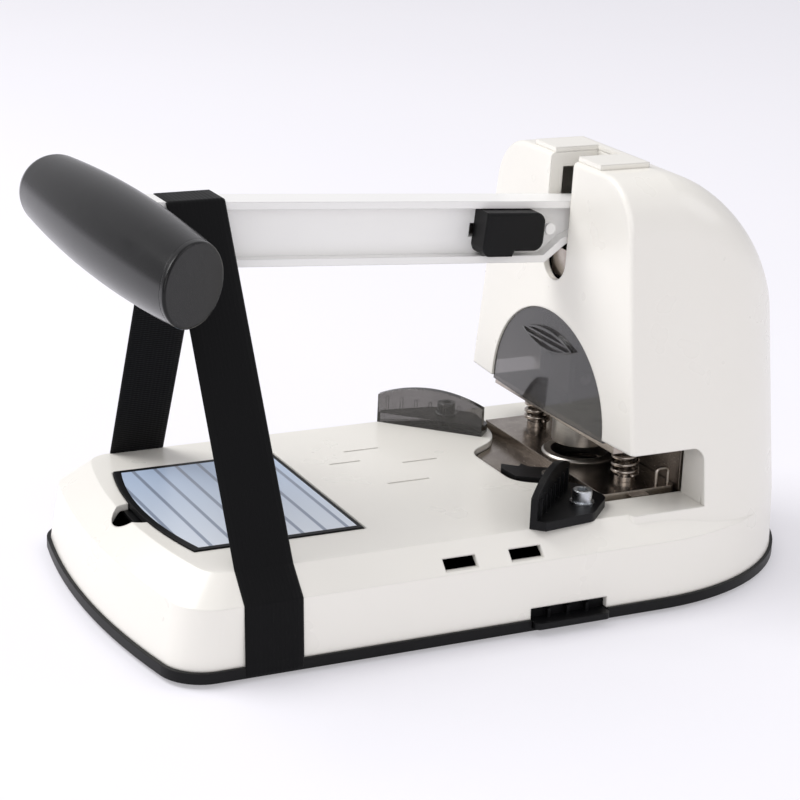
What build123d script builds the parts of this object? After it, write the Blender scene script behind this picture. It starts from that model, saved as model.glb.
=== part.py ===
from build123d import *
import math
import os

# Hand-operated bench die cutter for paper and card.
# +X is the operator's right, +Y runs to the rear, +Z is up, millimetres.
# The origin is on the bench, under the middle of the base.

os.makedirs("parts", exist_ok=True)

# ---------------------------------------------------------------- driving sizes
BASE_WIDTH = 172.0
BASE_FRONT = 162.5          # distance from the origin to the front of the base
BASE_REAR = 165.5
BASE_SIDE_REAR_Y = 66.0     # here the straight sides turn into the round rear
FRONT_BOW = 10.0            # how far the middle of the front edge stands proud
FRONT_CORNER_R = 18.0

FOOT_HEIGHT = 2.0           # how far the feet stand below the base plate
PLATE_RIM = 4.5
PLATE_FLOOR = 2.5
DECK_Z = 42.0               # paper table
BEVEL_DROP = 10.5
BEVEL_INSET = 10.5
WALL = 2.8

HEAD_FRONT_Y = 54.0
HEAD_BOW = 4.5
HEAD_BOW_FADE = 4.3         # the front is flatter at the top by this much
HEAD_HALF_LOW = 81.2        # half width of the head where it leaves the base
HEAD_HALF_HIGH = 54.5
HEAD_REAR_HIGH = 150.0
HEAD_TOP = 180.5
HEAD_LOFT_TOP = 185.0
HEAD_SIDE_REAR_Y = 85.0
SHOULDER_R = 24.0
HOOD_BREAK_Y = 80.0         # here the flat roof starts to fall to the rear
HEAD_EDGE_R = 2.2           # front edges of the head, from roof to table

THROAT_TOP = 67.5
THROAT_REAR = 90.0
THROAT_CORNER_R = 6.0
SLOT_GAP = 2.1              # side clearance of the lever in its slot
SLOT_BOTTOM = 126.2
SLOT_REAR = 77.0
SLOT_LIP = 1.3              # thickness of the liner round the slot
SLOT_SKIRT = 3.6            # how far the liner stands in behind the skin
WINDOW_HALF = 49.5
WINDOW_TOP = 112.0
BEZEL_HALF = 28.0
BEZEL_RISE = 2.3

PIVOT_Y = 106.0
PIVOT_Z = 146.0
PIVOT_R = 5.0
BUSH_WALL = 1.5
LEVER_ANGLE = 3.67          # the lever rises this much towards the handle
LEVER_HALF_W = 7.5
LEVER_DEPTH = 27.0
LEVER_FLANGE = 3.2
LEVER_WEB = 5.0
LEVER_REACH = 256.5         # pivot to the axis of the handle
LEVER_NOSE = 10.0           # how far the lever reaches past that axis, inside the grip

GRIP_LENGTH = 174.0
GRIP_R_MID = 19.0
GRIP_R_END = 16.0
GRIP_CAP_R = 16.0
GRIP_RAKE = 35.0            # the right end is cut at this angle, longer at the front
GRIP_CAP_X = 85.5           # where that cut crosses the axis of the grip
ROD_R = 6.0

DIE_Y = 72.0
DIE_HALF_X = 53.0
DIE_FRONT_Y = 52.5
DIE_REAR_Y = 89.5
BED_TOP = 39.0
BED_T = 3.0
DIE_LOW_T = 5.0
DIE_UP_Z = 62.0
DIE_UP_T = 4.5
DIE_SEAT = 3.0              # gap between the die set and the sides of its bay
POST_X = 39.0
POST_R = 3.0
PUNCH_R = 12.9
DIE_CLEAR = 0.08
PUNCH_TIP_Z = 50.0
RAM_HALF_X = 10.0
RAM_HALF_Y = 6.0
RAM_LOW = 74.0
RAM_SHOULDER = 116.0
RAM_TOP = 135.0
DRIVE_PIN_Z = 129.0
DRIVE_PIN_R = 4.0

FRAME_GAP = 3.5             # from the side of the lever to a frame plate
FRAME_T = 4.0
RUN = 0.05                  # running clearance, radial
FIT = 0.3                   # clearance between moulded parts

LID_WIDTH = 97.0
LID_REAR_Y = -58.0
LID_FRONT_Y = -133.0
LID_BOW = 6.5
LID_T = 2.4
HINGE_R = 0.8
HINGE_BACK = 1.6            # from the rear edge of the lid to its hinge axis
LID_PROUD = 0.6
WELL_FLOOR_Z = 14.0

FENCE_NEAR = (73.0, 5.5)    # front outer end of the right fence
FENCE_LENGTH = 51.0
FENCE_T = 3.0
FENCE_END_H = 13.5
FENCE_MID_H = 19.0
FENCE_FOOT = 22.5
FENCE_FOOT_T = 4.0
FENCE_SCREW_R = 2.5

TRAY_Y0, TRAY_Y1 = 2.0, 38.5
TRAY_TOP = 11.3
TRAY_REACH = 94.0
TRAY_LIP = 3.5
TRAY_MOUTH = 16.0           # the cut for the tray starts this far inside the side of the base
TRAY_PAST = 9.0             # and ends this far outside it

STRAP_W = 25.0
STRAP_T = 1.4
STRAP_LEVER_Y = -118.7
STRAP_BASE_Y = -113.5

# ---------------------------------------------------------------- derived levels
RIM_Z = FOOT_HEIGHT
SHELL_Z = RIM_Z + PLATE_RIM
BEVEL_Z = DECK_Z - BEVEL_DROP
HINGE_Y = LID_REAR_Y - HINGE_BACK
HINGE_Z = DECK_Z - WALL / 2
DIE_LOW_TOP = BED_TOP + DIE_LOW_T
SLOT_HALF = LEVER_HALF_W + SLOT_GAP
FRAME_IN = LEVER_HALF_W + FRAME_GAP
FRAME_OUT = FRAME_IN + FRAME_T
TRAY_FRONT = BASE_WIDTH / 2 - 4.5


# ---------------------------------------------------------------- small builders
def block(x0, x1, y0, y1, z0, z1):
    """Box between two corners."""
    middle = ((x0 + x1) / 2, (y0 + y1) / 2, (z0 + z1) / 2)
    return Pos(*middle) * Box(x1 - x0, y1 - y0, z1 - z0)


def post(x, y, z0, z1, r):
    """Upright cylinder."""
    return Pos(x, y, (z0 + z1) / 2) * Cylinder(r, z1 - z0)


def axle(x0, x1, y, z, r):
    """Cylinder along X."""
    return Pos((x0 + x1) / 2, y, z) * Rot(0, 90, 0) * Cylinder(r, x1 - x0)


def side_plate(points, x0, x1):
    """Slab with an outline in the YZ plane, from x0 to x1."""
    outline = Plane.YZ.offset(x0) * make_face(Polyline(*points, close=True))
    return extrude(outline, x1 - x0, dir=(1, 0, 0))


def save(node, *solids):
    """Write one node; several solids are kept side by side."""
    parts = [s for shape in solids for s in shape.solids()]
    export_step(Compound(children=parts) if len(parts) > 1 else parts[0], f"parts/{node}.step")


def mirror_x(shape):
    return mirror(shape, about=Plane.YZ)


def spring(x, y, z0, z1, r, wire, turns):
    """Compression coil with its wire just inside both ends."""
    height = z1 - z0 - 2 * wire
    path = Helix(height / turns, height, r)
    start = path @ 0
    section = Plane(origin=start, z_dir=path % 0) * Circle(wire)
    coil = sweep(section, path=path, is_frenet=True)
    return Pos(x, y, z0 + wire) * coil


# ---------------------------------------------------------------- housing
def base_face(inset, front_inset, z):
    """Plan outline of the base: bowed front, straight sides, round rear."""
    half = BASE_WIDTH / 2 - inset
    front = -BASE_FRONT + front_inset
    corner = front + FRONT_BOW
    right = Line((half, corner), (half, BASE_SIDE_REAR_Y))
    rear = EllipticalCenterArc(
        (0, BASE_SIDE_REAR_Y), half, BASE_REAR - inset - BASE_SIDE_REAR_Y, 0, arc_size=180
    )
    left = Line((-half, BASE_SIDE_REAR_Y), (-half, corner))
    bow = ThreePointArc((-half, corner), (0, front), (half, corner))
    face = make_face([right, rear, left, bow])
    corners = face.vertices().sort_by(Axis.Y)[:2]
    return Pos(0, 0, z) * fillet(corners, FRONT_CORNER_R - inset / 2)


def base_block(skin, z0, top):
    """Solid of the base inside its outer skin: sides with draft, then a bevel."""
    low = base_face(1.5 + skin, 1.5 + skin, z0)
    mid = base_face(2.6 + skin, 5.0 + skin, BEVEL_Z)
    deck = base_face(2.6 + BEVEL_INSET + skin * 0.6, 17.0 + skin * 0.6, top)
    return loft([low, mid], ruled=True) + loft([mid, deck], ruled=True)


def head_face(skin, z):
    """Plan outline of the head at one height."""
    share = (z - SHELL_Z) / (HEAD_LOFT_TOP - SHELL_Z)
    half = HEAD_HALF_LOW + share * (HEAD_HALF_HIGH - HEAD_HALF_LOW) - skin
    rear = BASE_REAR - 1.5 + share * (HEAD_REAR_HIGH - BASE_REAR + 1.5) - skin
    front = HEAD_FRONT_Y + skin
    bow = HEAD_BOW - HEAD_BOW_FADE * share
    right = Line((half, front), (half, HEAD_SIDE_REAR_Y))
    back = EllipticalCenterArc(
        (0, HEAD_SIDE_REAR_Y), half, rear - HEAD_SIDE_REAR_Y, 0, arc_size=180
    )
    left = Line((-half, HEAD_SIDE_REAR_Y), (-half, front))
    face_line = ThreePointArc((-half, front), (0, front - bow), (half, front))
    return Pos(0, 0, z) * make_face([right, back, left, face_line])


def head_column(skin, z0, z1):
    """Tapered column of the head, before its hood is cut."""
    return loft([head_face(skin, z0), head_face(skin, z1)], ruled=True)


def hood(skin):
    """Everything under the hood line, as a slab across the machine."""
    top = HEAD_TOP - skin
    rear = BASE_REAR - skin
    flat = Line((20, top), (HOOD_BREAK_Y, top))
    waist = BASE_REAR - 5.5 - skin
    curve = Bezier((HOOD_BREAK_Y, top), (108 - skin, top - 2), (waist - 8, 136), (waist, 78))
    back = Line((waist, 78), (rear + 4, 0))
    floor = Line((rear + 4, 0), (20, 0))
    front = Line((20, 0), (20, top))
    outline = Plane.YZ.offset(-100) * make_face([flat, curve, back, floor, front])
    return extrude(outline, 200, dir=(1, 0, 0))


def head_block(skin, z0):
    """Head with hood and rounded shoulders."""
    solid = head_column(skin, z0, HEAD_LOFT_TOP) & hood(skin)
    shoulders = solid.edges().filter_by(
        lambda e: e.center().Z > 100 and abs(e.center().X) > 30 and e.bounding_box().size.Y > 12
        and e.bounding_box().size.Z < 100
    )
    return fillet(shoulders, SHOULDER_R - skin)


def throat_cut():
    """Paper throat: open at the front and at both sides."""
    outline = make_face(Polyline(
        (20, DECK_Z), (THROAT_REAR, DECK_Z), (THROAT_REAR, THROAT_TOP), (20, THROAT_TOP), close=True
    ))
    corner = outline.vertices().sort_by(Axis.X)[-2:].sort_by(Axis.Y)[-1]
    return extrude(Plane.YZ.offset(-100) * fillet(corner, THROAT_CORNER_R), 200, dir=(1, 0, 0))


def bay_face(grow):
    """Plan outline of the die bay in the table, with its waisted front."""
    half = DIE_HALF_X + DIE_SEAT + grow
    rear = THROAT_REAR - 1
    waist = 14 + grow
    front = 27 - grow
    shelf = DIE_FRONT_Y - 1
    right = Spline(
        (waist, front), (29, 41), (half - 3, shelf), tangents=[(1, 0.1), (1, 0.1)]
    )
    left = Spline(
        (-half + 3, shelf), (-29, 41), (-waist, front), tangents=[(1, -0.1), (1, -0.1)]
    )
    edges = [
        Line((-waist, front), (waist, front)),
        right,
        Line((half - 3, shelf), (half, shelf)),
        Line((half, shelf), (half, rear)),
        Line((half, rear), (-half, rear)),
        Line((-half, rear), (-half, shelf)),
        Line((-half, shelf), (-half + 3, shelf)),
        left,
    ]
    return make_face(edges)


def lid_face(grow):
    """Plan outline of the storage lid with its bowed front."""
    half = LID_WIDTH / 2 + grow
    rear = LID_REAR_Y + grow
    front = LID_FRONT_Y - grow
    return make_face([
        Line((-half, front), (-half, rear)),
        Line((-half, rear), (half, rear)),
        Line((half, rear), (half, front)),
        ThreePointArc((half, front), (0, front - LID_BOW), (-half, front)),
    ])


def lever_slot(grow):
    """Upright slot for the lever, round at the bottom, open through the roof."""
    half = SLOT_HALF + grow
    centre = SLOT_BOTTOM + SLOT_HALF
    front, rear = 20, SLOT_REAR + grow
    cut = block(-half, half, front, rear, centre, 200)
    bottom = Pos(0, (front + rear) / 2, centre) * Rot(90, 0, 0) * Cylinder(half, rear - front)
    return cut + bottom


def window_prism(inset):
    """Arched opening for the finger guard, as a prism along Y."""
    half = WINDOW_HALF - inset
    rise = WINDOW_TOP - THROAT_TOP - inset
    arch = EllipticalCenterArc((0, THROAT_TOP), half, rise, 0, arc_size=180)
    legs = Polyline((-half, THROAT_TOP), (-half, 50), (half, 50), (half, THROAT_TOP))
    return extrude(Plane.XZ.offset(-62) * make_face([arch, *legs.edges()]), 30, dir=(0, -1, 0))


shell = base_block(0, SHELL_Z, DECK_Z)
head = head_block(0, 20) & extrude(base_face(2.6, 2.6, 0), 200, dir=(0, 0, 1))
front_edges = head.edges().filter_by(
    lambda e: e.center().Y < HEAD_FRONT_Y + 1 and e.center().Z > 21
)
head = fillet(front_edges, HEAD_EDGE_R)
shell = shell + head
shell = shell - base_block(WALL, SHELL_Z - 1, DECK_Z - WALL)
shell = shell - head_block(WALL, 16)
shell = shell - throat_cut()
# The rear wall of the throat, with the way through for the frame and the die bed.
wall = block(-72, 72, THROAT_REAR, THROAT_REAR + WALL, DECK_Z - WALL, THROAT_TOP + 12)
wall = wall - block(-DIE_HALF_X - 4, DIE_HALF_X + 4, 80, 100, 0, 100)
wall = wall & head_block(WALL / 2, 16)
shell = shell + wall
# Floor of the throat on both sides of the die bay.
for side in (1, -1):
    x0, x1 = sorted((side * (DIE_HALF_X + DIE_SEAT), side * 79))
    floor = block(x0, x1, HEAD_FRONT_Y - 1, THROAT_REAR + WALL, DECK_Z - WALL, DECK_Z)
    shell = shell + (floor & head_block(WALL / 2, 16))
# Liner of the straight part of the lever slot, standing in behind the skin.
liner = head_block(WALL - 0.3, 16) - head_block(WALL + SLOT_SKIRT, 16)
liner = liner & lever_slot(SLOT_LIP) & block(-30, 30, 40, 90, SLOT_BOTTOM + SLOT_HALF, 200)
shell = shell + liner
shell = shell - extrude(Pos(0, 0, DECK_Z - 9) * bay_face(0), 20, dir=(0, 0, 1))
shell = shell - extrude(Pos(0, 0, DECK_Z - 9) * lid_face(FIT), 20, dir=(0, 0, 1))
shell = shell - block(-LID_WIDTH / 2 - FIT, LID_WIDTH / 2 + FIT, LID_REAR_Y - 5, LID_REAR_Y + 2 * FIT, 35, 50)
shell = shell - axle(-LID_WIDTH / 2 - 2.5, LID_WIDTH / 2 + 2.5, HINGE_Y, HINGE_Z, HINGE_R + RUN)
NOTCH_R = 11.5
shell = shell - post(0, LID_FRONT_Y - LID_BOW + 1, DECK_Z - 9, DECK_Z + 5, NOTCH_R)
shell = shell - lever_slot(0) - window_prism(0)
# Hook slots in the side bevels and the opening for the chip tray.
for side in (1, -1):
    for y0 in (-37.5, -7.0):
        x0, x1 = sorted((side * 70, side * 90))
        shell = shell - block(x0, x1, y0, y0 + 15, 32.4, 36.6)
tray_cut_end = BASE_WIDTH / 2 + TRAY_PAST
shell = shell - block(BASE_WIDTH / 2 - TRAY_MOUTH, tray_cut_end, TRAY_Y0, TRAY_Y1, 0, TRAY_TOP)
# Four shallow setting marks moulded into the table.
for x, y0, length in ((-39.5, -27, 17), (-26.5, -40, 15), (-18, -8, 17), (4, -26, 20)):
    shell = shell - block(x - 0.5, x + 0.5, y0, y0 + length, DECK_Z - 0.5, DECK_Z + 1)
# Screw holes for the two fences, with bosses under the table.
angle = math.radians(45)
FENCE_DIR = (-math.cos(angle), math.sin(angle))
FENCE_OUT = (math.sin(angle), math.cos(angle))
SCREW_ALONG, SCREW_OUT = 29.5, 14.5
SCREW_X = FENCE_NEAR[0] + FENCE_DIR[0] * SCREW_ALONG + FENCE_OUT[0] * SCREW_OUT
SCREW_Y = FENCE_NEAR[1] + FENCE_DIR[1] * SCREW_ALONG + FENCE_OUT[1] * SCREW_OUT
for side in (1, -1):
    shell = shell - post(side * SCREW_X, SCREW_Y, 20, DECK_Z + 1, FENCE_SCREW_R + FIT)
# Pillars for the base screws run down from the table and the bevel.
PILLARS = [(66, -90), (-66, -90), (70, -44), (-70, -44), (64, 100), (-64, 100)]
PILLAR_R, PILOT_R = 4.5, 1.4
for x, y in PILLARS:
    pillar = post(x, y, SHELL_Z, DECK_Z - 1.5, PILLAR_R) & base_block(1.0, SHELL_Z - 1, DECK_Z - 1)
    shell = shell + pillar
    shell = shell - post(x, y, SHELL_Z - 1, SHELL_Z + 14, PILOT_R)
save("housing_shell", shell)

# Raised collar round the lever slot, on the roof.
collar = head_column(HEAD_EDGE_R, SHELL_Z, HEAD_LOFT_TOP)
collar = collar & block(-BEZEL_HALF, BEZEL_HALF, 40, HOOD_BREAK_Y, HEAD_TOP, HEAD_TOP + BEZEL_RISE)
collar = collar - lever_slot(0)
save("slot_collar", collar)

# ---------------------------------------------------------------- finger guard
guard = head_column(0.8, SHELL_Z, HEAD_LOFT_TOP) - head_column(3.0, SHELL_Z, HEAD_LOFT_TOP)
guard = guard & window_prism(FIT) & block(-60, 60, 40, 58, THROAT_TOP - 1.5, WINDOW_TOP)


def grip_lens(inset, z):
    """Lens-shaped outline of the finger grip on the guard, as a prism along Y."""
    half = 22.0 - inset
    upper = ThreePointArc((-half, z), (0, z + 4.5 - inset), (half, z))
    lower = ThreePointArc((half, z), (0, z - 5.5 + inset), (-half, z))
    return extrude(Plane.XZ.offset(-62) * make_face([upper, lower]), 30, dir=(0, -1, 0))


# Finger grip moulded on the guard: a raised lens-shaped rim with two ribs across it.
lens_z = WINDOW_TOP - 13.0
proud = head_column(-0.8, SHELL_Z, HEAD_LOFT_TOP) - head_column(1.2, SHELL_Z, HEAD_LOFT_TOP)
lens = grip_lens(0, lens_z) - grip_lens(1.2, lens_z)
for z in (lens_z - 1.6, lens_z + 1.0):
    lens = lens + (grip_lens(1.0, lens_z) & block(-30, 30, 20, 80, z - 0.4, z + 0.4))
guard = guard + (proud & lens & block(-60, 60, 40, 62, THROAT_TOP, WINDOW_TOP))
save("finger_guard", guard)

# ---------------------------------------------------------------- base plate and feet
plate = extrude(base_face(0, 0, RIM_Z), PLATE_RIM, dir=(0, 0, 1))
plate = plate - extrude(base_face(4, 4, RIM_Z + PLATE_FLOOR), PLATE_RIM, dir=(0, 0, 1))
plate = plate - block(TRAY_FRONT - TRAY_REACH - 1, tray_cut_end, TRAY_Y0, TRAY_Y1, RIM_Z + 1.2, 20)
for x, y in PILLARS:
    plate = plate + post(x, y, RIM_Z + PLATE_FLOOR, SHELL_Z, PILLAR_R)
    plate = plate - post(x, y, 0, 20, PILOT_R + 0.35)
    plate = plate - post(x, y, 0, RIM_Z + 2.2, 3.4)
FEET = [(58, -140), (-58, -140), (54, 124), (-54, 124), (0, -7)]
for x, y in FEET:
    plate = plate - post(x, y, RIM_Z, RIM_Z + 1.0, 8.2)
save("base_plate", plate)
save("rubber_feet", *[post(x, y, 0, RIM_Z + 1.0, 8.0) for x, y in FEET])
screws = []
for x, y in PILLARS:
    head_part = post(x, y, RIM_Z + 0.4, RIM_Z + 2.2, 3.1)
    head_part = head_part - post(x, y, RIM_Z, RIM_Z + 1.4, 1.3)
    screws.append(head_part + post(x, y, RIM_Z + 2.2, SHELL_Z + 12, PILOT_R - 0.05))
save("base_screws", *screws)

# ---------------------------------------------------------------- chip tray and chute
tray_z0 = RIM_Z + 1.2 + 0.2
tray = block(TRAY_FRONT - TRAY_REACH, TRAY_FRONT, TRAY_Y0 + FIT, TRAY_Y1 - FIT, tray_z0, TRAY_TOP - FIT)
tray = tray - block(
    TRAY_FRONT - TRAY_REACH + 1.6, TRAY_FRONT - 2, TRAY_Y0 + 2, TRAY_Y1 - 2, tray_z0 + 1.4, 30
)
lip = block(
    TRAY_FRONT - 1, BASE_WIDTH / 2 + TRAY_LIP, TRAY_Y0 + FIT, TRAY_Y1 - FIT, tray_z0, SHELL_Z - 0.3
)
lip = fillet(lip.edges().filter_by(Axis.Z).sort_by(Axis.X)[-2:], 2.5)
tray = tray + lip
for i in range(1, 4):
    rib_y = TRAY_Y0 + i * (TRAY_Y1 - TRAY_Y0) / 4
    tray = tray + block(TRAY_FRONT - 1, TRAY_FRONT + 2.5, rib_y - 0.7, rib_y + 0.7, SHELL_Z - 1, TRAY_TOP - 1.5)
save("chip_tray", tray)
# The chute leads chips from under the die, between the frame plates, into the tray.
CHUTE_HALF, CHUTE_T = FRAME_IN - FIT, 1.2
chute_floor = [(22, TRAY_TOP + 0.7), (90, 31), (90, 31 - CHUTE_T), (22, TRAY_TOP + 0.7 - CHUTE_T * 0.5)]
chute_cheek = [(22, TRAY_TOP + 0.4), (22, TRAY_TOP + 6), (60, 29), (88, 35.5), (90, 35.5), (90, 30)]
chute = side_plate(chute_floor, -CHUTE_HALF, CHUTE_HALF)
chute = chute + side_plate(chute_cheek, -CHUTE_HALF, -CHUTE_HALF + CHUTE_T)
chute = chute + side_plate(chute_cheek, CHUTE_HALF - CHUTE_T, CHUTE_HALF)
save("chip_chute", chute)

# ---------------------------------------------------------------- storage well and lid
lid_top = DECK_Z + LID_PROUD
lid = extrude(Pos(0, 0, lid_top - LID_T) * lid_face(0), LID_T, dir=(0, 0, 1))
lid_rib = extrude(Pos(0, 0, lid_top - LID_T - 2) * lid_face(-7), 2, dir=(0, 0, 1))
lid_rib = lid_rib - extrude(Pos(0, 0, lid_top - LID_T - 2) * lid_face(-9), 2, dir=(0, 0, 1))
lid = lid + lid_rib
LABEL_INSET, LABEL_T = 2.6, 0.25
lid = lid - extrude(Pos(0, 0, lid_top - LABEL_T) * lid_face(-LABEL_INSET), 1, dir=(0, 0, 1))
lid = chamfer(lid.edges().filter_by(Axis.X).sort_by(Axis.Y)[-2:].sort_by(Axis.Z)[-1], 1.0)
for side in (1, -1):
    x0, x1 = sorted((side * (LID_WIDTH / 2 - 1), side * (LID_WIDTH / 2 + 2.2)))
    lid = lid + axle(x0, x1, HINGE_Y, HINGE_Z, HINGE_R)
save("storage_lid", lid)
save("lid_label", extrude(Pos(0, 0, lid_top - LABEL_T) * lid_face(-LABEL_INSET - 0.1), LABEL_T, dir=(0, 0, 1)))

well_top = DECK_Z - WALL
rest_top = lid_top - LID_T
well = extrude(Pos(0, 0, WELL_FLOOR_Z) * lid_face(-2.0), rest_top - WELL_FLOOR_Z, dir=(0, 0, 1))
flange = extrude(Pos(0, 0, well_top - 1.6) * lid_face(2.5), 1.6, dir=(0, 0, 1))
well = well + flange
well = well - extrude(Pos(0, 0, WELL_FLOOR_Z + 1.8) * lid_face(-4.0), 60, dir=(0, 0, 1))
save("storage_well", well)

# ---------------------------------------------------------------- steel frame
frame_outline = [
    (HEAD_FRONT_Y + 5, RAM_LOW - 1), (96, RAM_LOW - 1), (98, 66), (98, 36), (40, 36), (40, 12),
    (132, 12), (136, 60), (132, 112), (116, 150), (108, 158), (86, 164), (HEAD_FRONT_Y + 9, 160),
    (HEAD_FRONT_Y + 5, 150),
]
SPACERS = [(126, 40), (126, 84), (104, 24), (112, 124)]
GUIDE_SCREW_Z = (84.0, 98.0)
GUIDE_T = 4.0
guide_front_y = DIE_Y - RAM_HALF_Y - RUN - GUIDE_T
guide_rear_y = DIE_Y + RAM_HALF_Y + RUN
frame = side_plate(frame_outline, FRAME_IN, FRAME_OUT) - axle(0, 40, PIVOT_Y, PIVOT_Z, PIVOT_R + RUN)
for y, z in SPACERS:
    frame = frame - axle(0, 40, y, z, 3.1)
for y in (guide_front_y + GUIDE_T / 2, guide_rear_y + GUIDE_T / 2):
    for z in GUIDE_SCREW_Z:
        frame = frame - axle(0, 40, y, z, 1.3)
save("frame_plate_right", frame)
save("frame_plate_left", mirror_x(frame))
spacer_parts, bolt_parts, nut_parts = [], [], []
for y, z in SPACERS:
    tube = axle(-FRAME_IN, FRAME_IN, y, z, 6.0) - axle(-20, 20, y, z, 3.1)
    spacer_parts.append(tube)
    shank = axle(-FRAME_OUT - 5.5, FRAME_OUT, y, z, 3.0)
    cap = axle(FRAME_OUT, FRAME_OUT + 5.0, y, z, 5.0) - axle(FRAME_OUT + 2, FRAME_OUT + 6, y, z, 2.5)
    bolt_parts.append(shank + cap)
    hexagon = Plane.YZ.offset(-FRAME_OUT - 5.0) * Pos(y, z) * RegularPolygon(5.0, 6, major_radius=False)
    nut = extrude(hexagon, 5.0, dir=(1, 0, 0)) - axle(-FRAME_OUT - 6, -FRAME_OUT, y, z, 3.02)
    nut_parts.append(nut)
save("frame_spacers", *spacer_parts)
save("frame_bolts", *bolt_parts)
save("frame_nuts", *nut_parts)

# Angle feet carry the frame on the base plate and take its screws.
foot_parts, foot_screws = [], []
for side in (1, -1):
    for y in (60.0, 122.0):
        angle_foot = block(FRAME_OUT, FRAME_OUT + 3, y - 8, y + 8, RIM_Z + PLATE_FLOOR, 30)
        toe = block(FRAME_OUT, FRAME_OUT + 16, y - 8, y + 8, RIM_Z + PLATE_FLOOR, RIM_Z + PLATE_FLOOR + 3)
        angle_foot = angle_foot + toe - post(FRAME_OUT + 10, y, 0, 12, 2.2)
        if side < 0:
            angle_foot = mirror_x(angle_foot)
        foot_parts.append(angle_foot)
        toe_top = RIM_Z + PLATE_FLOOR + 3
        pan = post(side * (FRAME_OUT + 10), y, toe_top, toe_top + 2.4, 4.0)
        pan = pan + post(side * (FRAME_OUT + 10), y, RIM_Z + PLATE_FLOOR, toe_top, 2.1)
        foot_screws.append(pan)
save("frame_feet", *foot_parts)
save("frame_foot_screws", *foot_screws)

# ---------------------------------------------------------------- lever pivot
BUSH_R = PIVOT_R + BUSH_WALL
save("pivot_pin", axle(-FRAME_OUT - 2.5, FRAME_OUT + 2.5, PIVOT_Y, PIVOT_Z, PIVOT_R))
bush = axle(-LEVER_HALF_W - 1.5, LEVER_HALF_W + 1.5, PIVOT_Y, PIVOT_Z, BUSH_R)
save("pivot_bush", bush - axle(-20, 20, PIVOT_Y, PIVOT_Z, PIVOT_R + RUN))
clips = []
for side in (1, -1):
    x0, x1 = sorted((side * (FRAME_OUT + 0.2), side * (FRAME_OUT + 1.2)))
    ring = axle(x0, x1, PIVOT_Y, PIVOT_Z, PIVOT_R + 3) - axle(x0 - 1, x1 + 1, PIVOT_Y, PIVOT_Z, PIVOT_R)
    clips.append(ring - block(x0 - 1, x1 + 1, PIVOT_Y - 2.5, PIVOT_Y + 2.5, PIVOT_Z - 12, PIVOT_Z))
save("pivot_clips", *clips)


# ---------------------------------------------------------------- lever
def along(u, v):
    """Point of the YZ plane: u along the lever from its pivot, v square to it."""
    a = math.radians(LEVER_ANGLE)
    y = PIVOT_Y - u * math.cos(a) + v * math.sin(a)
    z = PIVOT_Z + u * math.sin(a) + v * math.cos(a)
    return (y, z)


HALF_DEPTH = LEVER_DEPTH / 2
lever_outline = [
    along(0, 10), along(22, HALF_DEPTH), along(LEVER_REACH + LEVER_NOSE, HALF_DEPTH),
    along(LEVER_REACH + LEVER_NOSE, -HALF_DEPTH), along(62, -HALF_DEPTH), along(53, -6), along(46, -1.5),
    along(22, -1.0), along(0, -10),
]
lever = side_plate(lever_outline, -LEVER_HALF_W, LEVER_HALF_W)
lever = lever + axle(-LEVER_HALF_W, LEVER_HALF_W, PIVOT_Y, PIVOT_Z, 10.5)
recess = [
    along(45, HALF_DEPTH - LEVER_FLANGE), along(LEVER_REACH - 22, HALF_DEPTH - LEVER_FLANGE),
    along(LEVER_REACH - 22, -HALF_DEPTH + LEVER_FLANGE), along(63, -HALF_DEPTH + LEVER_FLANGE),
    along(54.5, -6 + LEVER_FLANGE), along(45, 2),
]
lever = lever - side_plate(recess, LEVER_WEB / 2, 20) - side_plate(recess, -20, -LEVER_WEB / 2)
rod_y, rod_z = along(LEVER_REACH, 0)
lever = lever - axle(-20, 20, rod_y, rod_z, ROD_R)
lever = lever - axle(-20, 20, PIVOT_Y, PIVOT_Z, BUSH_R)
# Slot in the web for the lock, and the hole of its stop rivet.
LOCK_TRAVEL = 10.0
LOCK_U0, LOCK_U1 = 67.5, 96.0
slot_u0, slot_u1 = LOCK_U0 + 8, LOCK_U1 - 8 + LOCK_TRAVEL
slot_half = 3.0
web_slot = [along(slot_u0, slot_half), along(slot_u1, slot_half), along(slot_u1, -slot_half), along(slot_u0, -slot_half)]
lever = lever - side_plate(web_slot, -20, 20)
rivet_y, rivet_z = along(61.5, 1.5)
lever = lever - axle(-20, 20, rivet_y, rivet_z, 1.5)
rivet_spots = [along(28, 6), along(42, 6)]
for y, z in rivet_spots:
    lever = lever - axle(-20, 20, y, z, 2.0)
save("lever_arm", lever)
stop_rivet = axle(-LEVER_HALF_W, LEVER_HALF_W, rivet_y, rivet_z, 1.45)
stop_rivet = stop_rivet + axle(LEVER_HALF_W, LEVER_HALF_W + 1.2, rivet_y, rivet_z, 2.6)
stop_rivet = stop_rivet + axle(-LEVER_HALF_W - 1.2, -LEVER_HALF_W, rivet_y, rivet_z, 2.6)
save("stop_rivet", stop_rivet)

# Steel yoke under the rear of the lever, with the slots that drive the ram.
yoke_in = LEVER_HALF_W + 0.02
yoke_out = yoke_in + 1.6
yoke_outline = [
    (56, 140), (58, 158), (78, 159), (85, 148), (82, 124), (78, 121.5), (64, 121.5), (57, 127),
]
yoke = side_plate(yoke_outline, -yoke_out, yoke_out) - side_plate(yoke_outline, -yoke_in, yoke_in)
yoke = yoke + side_plate([(56, 140), (57, 127), (59, 125.6), (59, 140)], -yoke_out, yoke_out)
drive_shift = 5.11          # the pin slides this far in its slot over the stroke
slot_y0 = DIE_Y - drive_shift - DRIVE_PIN_R - 0.2
slot_y1 = DIE_Y + DRIVE_PIN_R + 0.2
slot_h = 2 * DRIVE_PIN_R + 1.1
slot_mid = DRIVE_PIN_Z + 0.34
web = block(-20, 20, slot_y0 + slot_h / 2, slot_y1 - slot_h / 2, slot_mid - slot_h / 2, slot_mid + slot_h / 2)
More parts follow.
